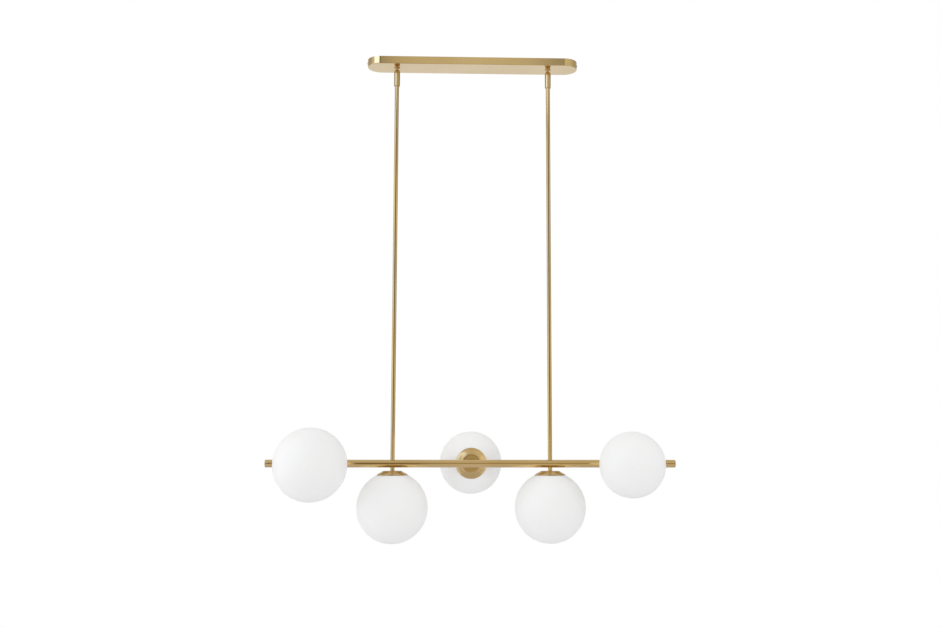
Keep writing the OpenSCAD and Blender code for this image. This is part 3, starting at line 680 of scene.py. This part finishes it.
rods = [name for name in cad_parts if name.startswith(("rod_left", "rod_right"))]
dress(["canopy"], brass_canopy)
dress(["bar", "bar_end_caps", "joint_blocks"], brass_along_x)
dress(rods, brass_along_z)
dress(["swivel_socket_left", "swivel_socket_right", "swivel_bushes"], brass_along_z)
dress(["ball_stem_left", "ball_stem_right", "rod_couplers", "rod_feet"], brass_along_z)
dress(["canopy_screws"], brass_along_x)
dress(["mounting_plate", "stem_washers"], steel_strip)
dress(["ground_screw", "stem_nuts", "arm_nipples", "cup_nuts", "screw_bosses"], steel_drawn_z)
dress(["gaskets"], rubber)
dress(["canopy_wires", "rod_wire", "bar_wires"], sheath)
dress(["terminal_block"], ivory)
for arm in ARM_TURNS:
    dress(["cup_" + arm, "stem_" + arm], brass_cups[arm])
    dress(["lampholder_" + arm], ceramic)
    dress(["bulb_" + arm], frosted)
    dress(["globe_" + arm], opal_glass)
    dress(["globe_ring_" + arm], arm_steel(arm))
print("dressed", len(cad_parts), "parts")

# %% [markdown]
# The fine pieces come next. The frame's solids leave out threads, slots and rounded edges,
# which would only slow its moving checks. Most of these pieces are round, so they are made
# as on a lathe: an outline is drawn point by point and spun round the axis. A cylinder
# with bevels would do for the simplest, but an outline also carries grooves and lips.
# Where the piece has a bore, the outline starts off the axis and closes on itself.

# %% Lathe


def clear_selection():
    """Leaves edit mode and selects nothing."""
    if bpy.context.object and bpy.context.object.mode != "OBJECT":
        bpy.ops.object.mode_set(mode="OBJECT")
    bpy.ops.object.select_all(action="DESELECT")


def drawn(name, outline):
    """A chain of edges through points given as radius and height in millimetres."""
    clear_selection()
    bpy.ops.mesh.primitive_plane_add(size=MM, location=(0, 0, 0))
    piece = bpy.context.active_object
    piece.name = name
    points = [Vector((radius, 0, height)) * MM for radius, height in outline]
    bpy.ops.object.mode_set(mode="EDIT")
    bpy.ops.mesh.merge(type="CENTER")
    bpy.ops.transform.translate(value=points[0])
    for here, there in zip(points, points[1:]):
        bpy.ops.mesh.extrude_vertices_move(TRANSFORM_OT_translate={"value": there - here})
    bpy.ops.mesh.select_all(action="SELECT")
    return piece


def turned(name, outline, steps=48):
    """A round piece: the outline spun round the Z axis and welded."""
    has_bore = outline[0][0] > 0
    piece = drawn(name, outline + outline[:1] if has_bore else outline)
    bpy.ops.mesh.spin(steps=steps, angle=math.tau, center=(0, 0, 0), axis=(0, 0, 1))
    bpy.ops.mesh.select_all(action="SELECT")
    bpy.ops.mesh.remove_doubles(threshold=0.001 * MM)
    bpy.ops.mesh.normals_make_consistent(inside=False)
    bpy.ops.object.mode_set(mode="OBJECT")
    return piece


def arc(centre, radius, start, end, steps):
    """Points of an arc in the outline's plane, with angles in degrees."""
    points = []
    for step in range(steps + 1):
        angle = math.radians(start + (end - start) * step / steps)
        points.append((radius * math.cos(angle), centre + radius * math.sin(angle)))
    return points


print("lathe ready")

# %% [markdown]
# A thread is a ridge wound round a core. Rings side by side would look much the same, but
# a real thread climbs, and that shows at its ends. So a small triangle is wound up with a
# screw modifier, its two ends are closed, and a Boolean welds the ridge to its core. The
# same weld cuts slots and holes.

# %% Threads and cuts
RIDGE_SHARE = 0.8
RIDGE_SUNK = 0.1


def shaped(piece, tool, operation):
    """Joins a tool to a piece, cuts it away, or keeps what both share."""
    clear_selection()
    piece.select_set(True)
    bpy.context.view_layer.objects.active = piece
    bpy.ops.object.modifier_add(type="BOOLEAN")
    weld = piece.modifiers[-1]
    weld.operation = operation
    weld.solver = "EXACT"
    weld.object = tool
    bpy.ops.object.modifier_apply(modifier=weld.name)
    bpy.data.objects.remove(tool)
    bpy.ops.object.mode_set(mode="EDIT")
    bpy.ops.mesh.select_all(action="SELECT")
    bpy.ops.mesh.dissolve_degenerate(threshold=0.001 * MM)
    bpy.ops.object.mode_set(mode="OBJECT")
    return piece


def ridge(name, root, crest, pitch, low, high, steps=48):
    """A thread's ridge, which faces inwards where the crest is smaller than the root."""
    turns = int((high - low) / pitch - RIDGE_SHARE)
    start = (low + high - (turns + RIDGE_SHARE) * pitch) / 2
    sunk = root - math.copysign(RIDGE_SUNK, crest - root)
    top = (crest, start + RIDGE_SHARE / 2 * pitch)
    corners = [(sunk, start), top, (sunk, start + RIDGE_SHARE * pitch)]
    piece = drawn(name, corners + corners[:1])
    bpy.ops.mesh.remove_doubles(threshold=0.001 * MM)
    bpy.ops.object.mode_set(mode="OBJECT")
    bpy.ops.object.modifier_add(type="SCREW")
    winding = piece.modifiers[-1]
    winding.axis = "Z"
    winding.screw_offset = pitch * MM
    winding.iterations = turns
    winding.steps = steps
    winding.render_steps = steps
    bpy.ops.object.modifier_apply(modifier=winding.name)
    bpy.ops.object.mode_set(mode="EDIT")
    bpy.ops.mesh.select_all(action="SELECT")
    bpy.ops.mesh.fill_holes(sides=4)
    bpy.ops.mesh.select_all(action="SELECT")
    bpy.ops.mesh.normals_make_consistent(inside=False)
    bpy.ops.object.mode_set(mode="OBJECT")
    return piece


def cut_slot(piece, along_x, along_y, depth, top, x=0.0):
    """Cuts a slot down from the top of a piece, with all measures in millimetres."""
    clear_selection()
    sides = Vector((along_x, along_y, 2 * depth)) * MM
    bpy.ops.mesh.primitive_cube_add(size=1, location=Vector((x, 0, top)) * MM, scale=sides)
    tool = bpy.context.active_object
    bpy.ops.object.transform_apply(location=True, rotation=True, scale=True)
    return shaped(piece, tool, "DIFFERENCE")


def cut_hole(piece, diameter, depth, top, x):
    """Drills a round hole down from the top of a piece, with all measures in millimetres."""
    clear_selection()
    bpy.ops.mesh.primitive_cylinder_add(
        vertices=32,
        radius=diameter / 2 * MM,
        depth=2 * depth * MM,
        location=Vector((x, 0, top)) * MM,
    )
    tool = bpy.context.active_object
    bpy.ops.object.transform_apply(location=True, rotation=True, scale=True)
    return shaped(piece, tool, "DIFFERENCE")


print("thread builder ready")

# %% [markdown]
# Pieces that repeat are modelled once and copied, and each copy is carried to its place.
# Linked copies would save memory, but every finished piece should stand alone. After the
# move the place is applied to the mesh, sharp edges are kept and the rest is smoothed, the
# piece takes its finish, and it is tied to the body it moves with.


def copies(piece, count):
    """The piece and as many true copies as are needed to make up a count."""
    made = [piece]
    for _ in range(count - 1):
        clear_selection()
        piece.select_set(True)
        bpy.context.view_layer.objects.active = piece
        bpy.ops.object.duplicate(linked=False)
        made.append(bpy.context.active_object)
    return made


def placed(piece, name, matrix, body, finish):
    """Names a piece, carries it to its place and gives it its finish and its body."""
    clear_selection()
    piece.name = name
    piece.select_set(True)
    bpy.context.view_layer.objects.active = piece
    piece.matrix_world = matrix
    bpy.ops.object.transform_apply(location=True, rotation=True, scale=True)
    bpy.ops.object.shade_smooth_by_angle(angle=math.radians(35))
    piece.data.materials.append(finish)
    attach(piece, body)
    return piece


def along_arm(arm, distance):
    """Frame of an arm, moved outwards by a distance in metres from the bar's axis."""
    return arm_frame(arm) @ Matrix.Translation((0, 0, distance))


print("arms:", len(ARM_TURNS))

# %% [markdown]
# The canopy's end screws are small oval heads with a cross recess. Half a sphere on a
# cylinder would do from far off, but it has no flat rim to bear on the pan. A spun outline
# gives the dome and the shank, a wound ridge the thread, and two crossed cuts the recess.

# %% Canopy screws
SHANK_ROOT = 1.6
SHANK_CREST = 1.95
SHANK_PITCH = 0.7
DOME_TOP = 1.4
RECESS_LENGTH = 3.2
RECESS_WIDTH = 0.7
RECESS_DEPTH = 0.8

shank_outline = [(0, -7), (1.1, -7), (SHANK_ROOT, -6.4), (SHANK_ROOT, 0)]
dome = [(3.2, 0), (3.0, 0.28), (2.72, 0.62), (2.36, 0.94), (1.86, 1.18), (1.2, 1.33), (0, DOME_TOP)]
screw = turned("canopy_screw", shank_outline + dome)
thread = ridge("shank_thread", SHANK_ROOT, SHANK_CREST, SHANK_PITCH, low=-6.5, high=-0.6, steps=32)
shaped(screw, thread, "UNION")
cut_slot(screw, RECESS_LENGTH, RECESS_WIDTH, RECESS_DEPTH, DOME_TOP)
cut_slot(screw, RECESS_WIDTH, RECESS_LENGTH, RECESS_DEPTH, DOME_TOP)

canopy_low, canopy_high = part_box("canopy")
screw_height = middle("canopy_screws").z
ends = {"left": (canopy_low.x, -90), "right": (canopy_high.x, 90)}
for (side, (end_x, angle)), piece in zip(ends.items(), copies(screw, 2)):
    seat = Matrix.Translation((end_x, 0, screw_height)) @ Matrix.Rotation(math.radians(angle), 4, "Y")
    placed(piece, "canopy_screw_" + side, seat, "ceiling_mount", brass_along_x)
    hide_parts("canopy_screws")
    print(piece.name, "faces:", len(piece.data.polygons))

# %% [markdown]
# The ball stems are turned from one bar: a ball, a slim neck, a collar that shows under
# the canopy, and the thread that passes through its floor. They could be a sphere and
# cylinders welded together, but one outline makes the grooved collar and the bore in the
# same go. It starts at the ball's bore, runs up the outside, over the end and back down.

# %% Ball stems
BALL_R = 6.0
STEM_BORE_R = 2.2
NECK_R = 3.0
stem_low, stem_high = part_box("ball_stem_left")
ball_centre = (stem_low.z - canopy_low.z) / MM + math.sqrt(BALL_R**2 - STEM_BORE_R**2)
thread_top = (stem_high.z - canopy_low.z) / MM
lower_turn = -math.degrees(math.acos(STEM_BORE_R / BALL_R))
upper_turn = math.degrees(math.acos(NECK_R / BALL_R))
stem_outline = arc(ball_centre, BALL_R, lower_turn, upper_turn, 28) + [
    (NECK_R, -3),
    (6.35, -3),
    (6.75, -2.6),
    (6.75, -1.9),
    (6.55, -1.7),
    (6.55, -1.5),
    (6.75, -1.3),
    (6.75, -0.3),
    (6.45, 0),
    (4.3, 0),
    (4.3, thread_top - 0.4),
    (3.9, thread_top),
    (2.6, thread_top),
    (STEM_BORE_R, thread_top - 0.4),
]
stem = turned("ball_stem", stem_outline, steps=64)
thread = ridge("stem_thread", root=4.3, crest=4.75, pitch=1.25, low=0.2, high=thread_top - 0.3)
shaped(stem, thread, "UNION")
for side, piece in zip(("left", "right"), copies(stem, 2)):
    seat = Matrix.Translation((middle("ball_stem_" + side).x, 0, canopy_low.z))
    placed(piece, "turned_ball_stem_" + side, seat, "ceiling_mount", brass_along_z)
    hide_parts("ball_stem_" + side)
    print(piece.name, "ball centre:", round(ball_centre, 2), "mm from the canopy's floor")

# %% [markdown]
# Two sizes of hexagon nut hold the light together. A bevel on a six-sided cylinder would
# round all its edges alike. A real nut is chamfered by a cone, which leaves curved corners,
# so the hexagon is cut down to what it shares with a chamfered barrel.

# %% Nuts
FACE_SHARE = 0.49
CHAMFER_ANGLE = math.radians(30)
BORE_CHAMFER = 0.4


def hexagon_nut(name, across_flats, height, root, crest, pitch):
    """A nut standing on the origin, with a corner towards +X."""
    corner = across_flats / math.sqrt(3)
    barrel_radius = corner + 0.2
    face = FACE_SHARE * across_flats
    rise = (barrel_radius - face) * math.tan(CHAMFER_ANGLE)
    barrel_outline = [
        (root + BORE_CHAMFER, 0),
        (face, 0),
        (barrel_radius, rise),
        (barrel_radius, height - rise),
        (face, height),
        (root + BORE_CHAMFER, height),
        (root, height - BORE_CHAMFER),
        (root, BORE_CHAMFER),
    ]
    barrel = turned("barrel", barrel_outline, steps=72)
    clear_selection()
    bpy.ops.mesh.primitive_cylinder_add(
        vertices=6,
        radius=corner * MM,
        depth=2 * height * MM,
        location=(0, 0, height / 2 * MM),
        rotation=(0, 0, math.radians(90)),
    )
    nut = bpy.context.active_object
    nut.name = name
    bpy.ops.object.transform_apply(location=True, rotation=True, scale=True)
    shaped(nut, barrel, "INTERSECT")
    nut_thread = ridge("nut_thread", root, crest, pitch, low=0.25, high=height - 0.2)
    return shaped(nut, nut_thread, "UNION")


stem_nut = hexagon_nut("stem_nut", across_flats=15, height=4, root=5.25, crest=4.85, pitch=1.25)
nut_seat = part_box("stem_nuts")[0].z
for side, piece in zip(("left", "right"), copies(stem_nut, 2)):
    seat = Matrix.Translation((middle("ball_stem_" + side).x, 0, nut_seat))
    placed(piece, "stem_nut_" + side, seat, "ceiling_mount", steel_drawn_z)
    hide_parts("stem_nuts")

NUT_TO_HOLDER = 4.3 * MM
cup_nut = hexagon_nut("cup_nut", across_flats=13, height=4, root=4.45, crest=4.1, pitch=1.0)
for arm, piece in zip(ARM_TURNS, copies(cup_nut, 5)):
    nut_start = reach(arm, "lampholder_" + arm)[0] - NUT_TO_HOLDER
    placed(piece, "cup_nut_" + arm, along_arm(arm, nut_start), "suspension", arm_steel(arm))
    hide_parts("cup_nuts")
print("cup nut faces:", len(cup_nut.data.polygons))

# %% [markdown]
# Each arm is drawn together by a lamp nipple, a tube with a fine thread over its whole
# length, through the stem, the cup, the boss and the nut into the lampholder's foot. A
# bump pattern on a plain tube would look right from afar, but the nipple is also a piece
# by itself, so it is a turned tube with a real ridge.

# %% Lamp nipples
NIPPLE_START = 3.0
NIPPLE_INTO_HOLDER = 1.0
NIPPLE_BORE_R = 2.2
NIPPLE_ROOT = 3.65
NIPPLE_CREST = 4.0
holder_foot = reach("down_left", "lampholder_down_left")[0] / MM
nipple_length = holder_foot + NIPPLE_INTO_HOLDER - NIPPLE_START
nipple_outline = [
    (2.5, 0),
    (3.4, 0),
    (NIPPLE_ROOT, 0.3),
    (NIPPLE_ROOT, nipple_length - 0.3),
    (3.4, nipple_length),
    (2.5, nipple_length),
    (NIPPLE_BORE_R, nipple_length - 0.3),
    (NIPPLE_BORE_R, 0.3),
]
nipple = turned("nipple", nipple_outline, steps=36)
top = nipple_length - 0.2
thread = ridge("nipple_thread", NIPPLE_ROOT, NIPPLE_CREST, pitch=1.0, low=0.2, high=top, steps=36)
shaped(nipple, thread, "UNION")
for arm, piece in zip(ARM_TURNS, copies(nipple, 5)):
    seat = along_arm(arm, NIPPLE_START * MM)
    placed(piece, "nipple_" + arm, seat, "suspension", arm_steel(arm))
    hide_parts("arm_nipples")
print("nipple length:", round(nipple_length, 1), "mm")

# %% [markdown]
# The boss carries the globe: a flat hub against the cup, and a skirt with a coarse, shallow
# thread, rolled into thin sheet. The globe's own ring has the matching thread inside. Two
# plain sleeves would hide in the neck just as well, but with a globe taken off both
# threads show. Their crests pass each other with a tenth of a millimetre to spare.

# %% Bosses and globe rings
BOSS_PITCH = 2.5
BOSS_ROOT = 21.4
BOSS_CREST = 22.0
RING_ROOT = 22.7
RING_CREST = 22.1
HUB_HEIGHT = 5.8
boss_outline = [
    (4.1, 0),
    (8.2, 0),
    (8.5, 0.3),
    (8.5, 3.8),
    (21.0, 3.8),
    (BOSS_ROOT, 4.2),
    (BOSS_ROOT, 19.4),
    (21.1, 19.8),
    (20.8, 19.8),
    (20.5, 19.5),
    (20.5, HUB_HEIGHT),
    (4.1, HUB_HEIGHT),
]
boss = turned("boss", boss_outline, steps=72)
thread = ridge("boss_thread", BOSS_ROOT, BOSS_CREST, BOSS_PITCH, low=4.6, high=19.4, steps=72)
shaped(boss, thread, "UNION")

ring_outline = [(RING_ROOT, 0), (24.2, 0), (24.6, 0.4), (24.6, 8.6), (24.2, 9), (RING_ROOT, 9)]
ring = turned("ring", ring_outline, steps=72)
thread = ridge("ring_thread", RING_ROOT, RING_CREST, BOSS_PITCH, low=0.2, high=8.8, steps=72)
shaped(ring, thread, "UNION")

for arm, piece, ring_piece in zip(ARM_TURNS, copies(boss, 5), copies(ring, 5)):
    nut_start = reach(arm, "lampholder_" + arm)[0] - NUT_TO_HOLDER
    seat = along_arm(arm, nut_start - HUB_HEIGHT * MM)
    placed(piece, "threaded_boss_" + arm, seat, "suspension", arm_steel(arm))
    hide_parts("screw_bosses")
    ring_seat = along_arm(arm, reach(arm, "globe_ring_" + arm)[0])
    placed(ring_piece, "threaded_ring_" + arm, ring_seat, "globe_" + arm, arm_steel(arm))
    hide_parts("globe_ring_" + arm)
print("boss faces:", len(boss.data.polygons))
print("ring faces:", len(ring.data.polygons))

# %% [markdown]
# The lampholder is pressed and fired, so its edges are round and its body has a shallow
# groove. A bevelled cylinder would lack its foot and its recess, so it is turned with both.
# The two contact holes are cut afterwards, because they don't lie on the axis.

# %% Lampholders
PIN_OFFSET = 4.5
RECESS_FLOOR = 19
holder_outline = [
    (0, 2.2),
    (4.1, 2.2),
    (4.1, 0),
    (12.6, 0),
    (12.9, 0.15),
    (13, 0.5),
    (13, 2.0),
    (12.6, 2.4),
    (11.5, 2.4),
    (11.1, 2.55),
    (11, 3.0),
    (11, 8.8),
    (10.5, 9.3),
    (10.5, 10.1),
    (11, 10.6),
    (11, 22.2),
    (10.8, 22.75),
    (10.3, 23),
    (8.8, 23),
    (8.5, 22.8),
    (8.4, 22.4),
    (8.4, RECESS_FLOOR),
    (0, RECESS_FLOOR),
]
holder = turned("holder", holder_outline, steps=64)
for side in (-1, 1):
    cut_hole(holder, diameter=2.8, depth=9, top=RECESS_FLOOR, x=side * PIN_OFFSET)
for arm, piece in zip(ARM_TURNS, copies(holder, 5)):
    seat = along_arm(arm, reach(arm, "lampholder_" + arm)[0])
    placed(piece, "ceramic_holder_" + arm, seat, "suspension", ceramic)
    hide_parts("lampholder_" + arm)
print("holder faces:", len(holder.data.polygons))

# %% [markdown]
# Each bulb is a capsule with two pins: a ribbed white base, a frosted cover and the pins.
# They are three pieces, because glass, ceramic and metal need their own finish, and they
# move together when the bulb is pulled out.

# %% Bulbs
BULB_R = 8.0
BULB_LENGTH = 40.0
BASE_LENGTH = 13.0
base_outline = [(0, 0), (6.9, 0), (7.4, 0.5), (7.4, 3.4), (BULB_R, 4.2)]
for rib in range(3):
    low_edge = 5.4 + 2.4 * rib
    base_outline += [(BULB_R, low_edge), (7.4, low_edge + 0.5), (7.4, low_edge + 1.1)]
    base_outline += [(BULB_R, low_edge + 1.6)]
base_outline += [(BULB_R, 12.5), (7.5, BASE_LENGTH), (0, BASE_LENGTH)]
cover_outline = [(0, BASE_LENGTH), (7.0, BASE_LENGTH), (7.5, 13.3), (BULB_R, 14.2)]
cover_outline += arc(BULB_LENGTH - BULB_R, BULB_R, 0, 90, 16)
pin_outline = [
    (0, -8.2),
    (0.65, -8.2),
    (1.0, -7.9),
    (1.1, -7.5),
    (1.1, -2.6),
    (0.85, -2.2),
    (0.85, -1.8),
    (1.1, -1.4),
    (1.1, 0.3),
    (0, 0.3),
]
bases = copies(turned("base", base_outline), 5)
covers = copies(turned("cover", cover_outline), 5)
pins = copies(turned("pin", pin_outline, steps=20), 10)
for number, arm in enumerate(ARM_TURNS):
    outer_end = reach(arm, "bulb_" + arm)[1]
    seat = along_arm(arm, outer_end - BULB_LENGTH * MM)
    body = "bulb_" + arm
    parts = [
        placed(bases[number], "bulb_base_" + arm, seat, body, ceramic),
        placed(covers[number], "bulb_cover_" + arm, seat, body, frosted),
    ]
    for side, pin in (("a", pins[2 * number]), ("b", pins[2 * number + 1])):
        offset = PIN_OFFSET * MM * (-1 if side == "a" else 1)
        pin_seat = seat @ Matrix.Translation((offset, 0, 0))
        parts.append(placed(pin, "bulb_pin_" + side + "_" + arm, pin_seat, body, arm_steel(arm)))
    for part in parts:
        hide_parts("bulb_" + arm)
print("bulbs:", len(covers), "pins:", len(pins))

# %% [markdown]
# Under the plate sit the ground screw, with a slotted pan head, and the terminal block. The
# block is moulded. It could be turned into a row of tubes, but the plain kind is one bar:
# its edges get a small bevel, grooves part its terminals, and each well holds a slotted
# clamping screw.

# %% Ground screw and terminals
GROUND_HEAD = 2.2
ground_outline = [
    (0, -1.6),
    (1.3, -1.6),
    (SHANK_ROOT, -1.3),
    (SHANK_ROOT, 0),
    (4, 0),
    (4, 1.2),
    (3.8, 1.7),
    (3.3, 2.05),
    (2.6, GROUND_HEAD),
    (0, GROUND_HEAD),
]
ground = turned("ground", ground_outline)
thread = ridge("ground_thread", SHANK_ROOT, SHANK_CREST, SHANK_PITCH, low=-1.5, high=0.2, steps=32)
shaped(ground, thread, "UNION")
cut_slot(ground, along_x=9, along_y=1.0, depth=1.0, top=GROUND_HEAD + 0.1)
ground_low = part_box("ground_screw")[0].z
plate_face = ground_low + GROUND_HEAD * MM
upside_down = Matrix.Rotation(math.pi, 4, "X")
seat = Matrix.Translation((middle("ground_screw").x, 0, plate_face)) @ upside_down
placed(ground, "slotted_ground_screw", seat, "ceiling_mount", steel_drawn_z)
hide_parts("ground_screw")

block_low, block_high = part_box("terminal_block")
block_size = (block_high - block_low) / MM
TERMINAL_PITCH = 9
WELL_DEPTH = 4.5
clear_selection()
bpy.ops.mesh.primitive_cube_add(
    size=1, location=(0, 0, block_size.z / 2 * MM), scale=block_high - block_low
)
block = bpy.context.active_object
bpy.ops.object.transform_apply(location=True, rotation=True, scale=True)
bpy.ops.object.mode_set(mode="EDIT")
bpy.ops.mesh.select_all(action="SELECT")
bpy.ops.mesh.bevel(offset=0.5 * MM, segments=3)
bpy.ops.object.mode_set(mode="OBJECT")
for side in (-0.5, 0.5):
    x = side * TERMINAL_PITCH
    cut_slot(block, along_x=1.0, along_y=20, depth=1.5, top=block_size.z, x=x)
for terminal in (-1, 0, 1):
    x = terminal * TERMINAL_PITCH
    cut_hole(block, diameter=3.4, depth=WELL_DEPTH, top=block_size.z, x=x)
block_top = Vector((middle("terminal_block").x, 0, block_high.z))
seat = Matrix.Translation(block_top) @ upside_down
placed(block, "moulded_terminal_block", seat, "ceiling_mount", ivory)
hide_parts("terminal_block")

clamp_outline = [(0, 0), (1.2, 0), (1.55, 0.4), (1.55, 2.2), (1.3, 2.5), (0, 2.5)]
clamp = turned("clamp", clamp_outline, steps=32)
cut_slot(clamp, along_x=4, along_y=0.5, depth=0.8, top=2.5)
for number, piece in enumerate(copies(clamp, 3)):
    floor_of_well = Vector(((number - 1) * TERMINAL_PITCH, 0, WELL_DEPTH - block_size.z)) * MM
    seat = Matrix.Translation(block_top + floor_of_well) @ upside_down
    placed(piece, "clamping_screw_" + str(number + 1), seat, "ceiling_mount", steel_drawn_z)
print("block faces:", len(block.data.polygons))
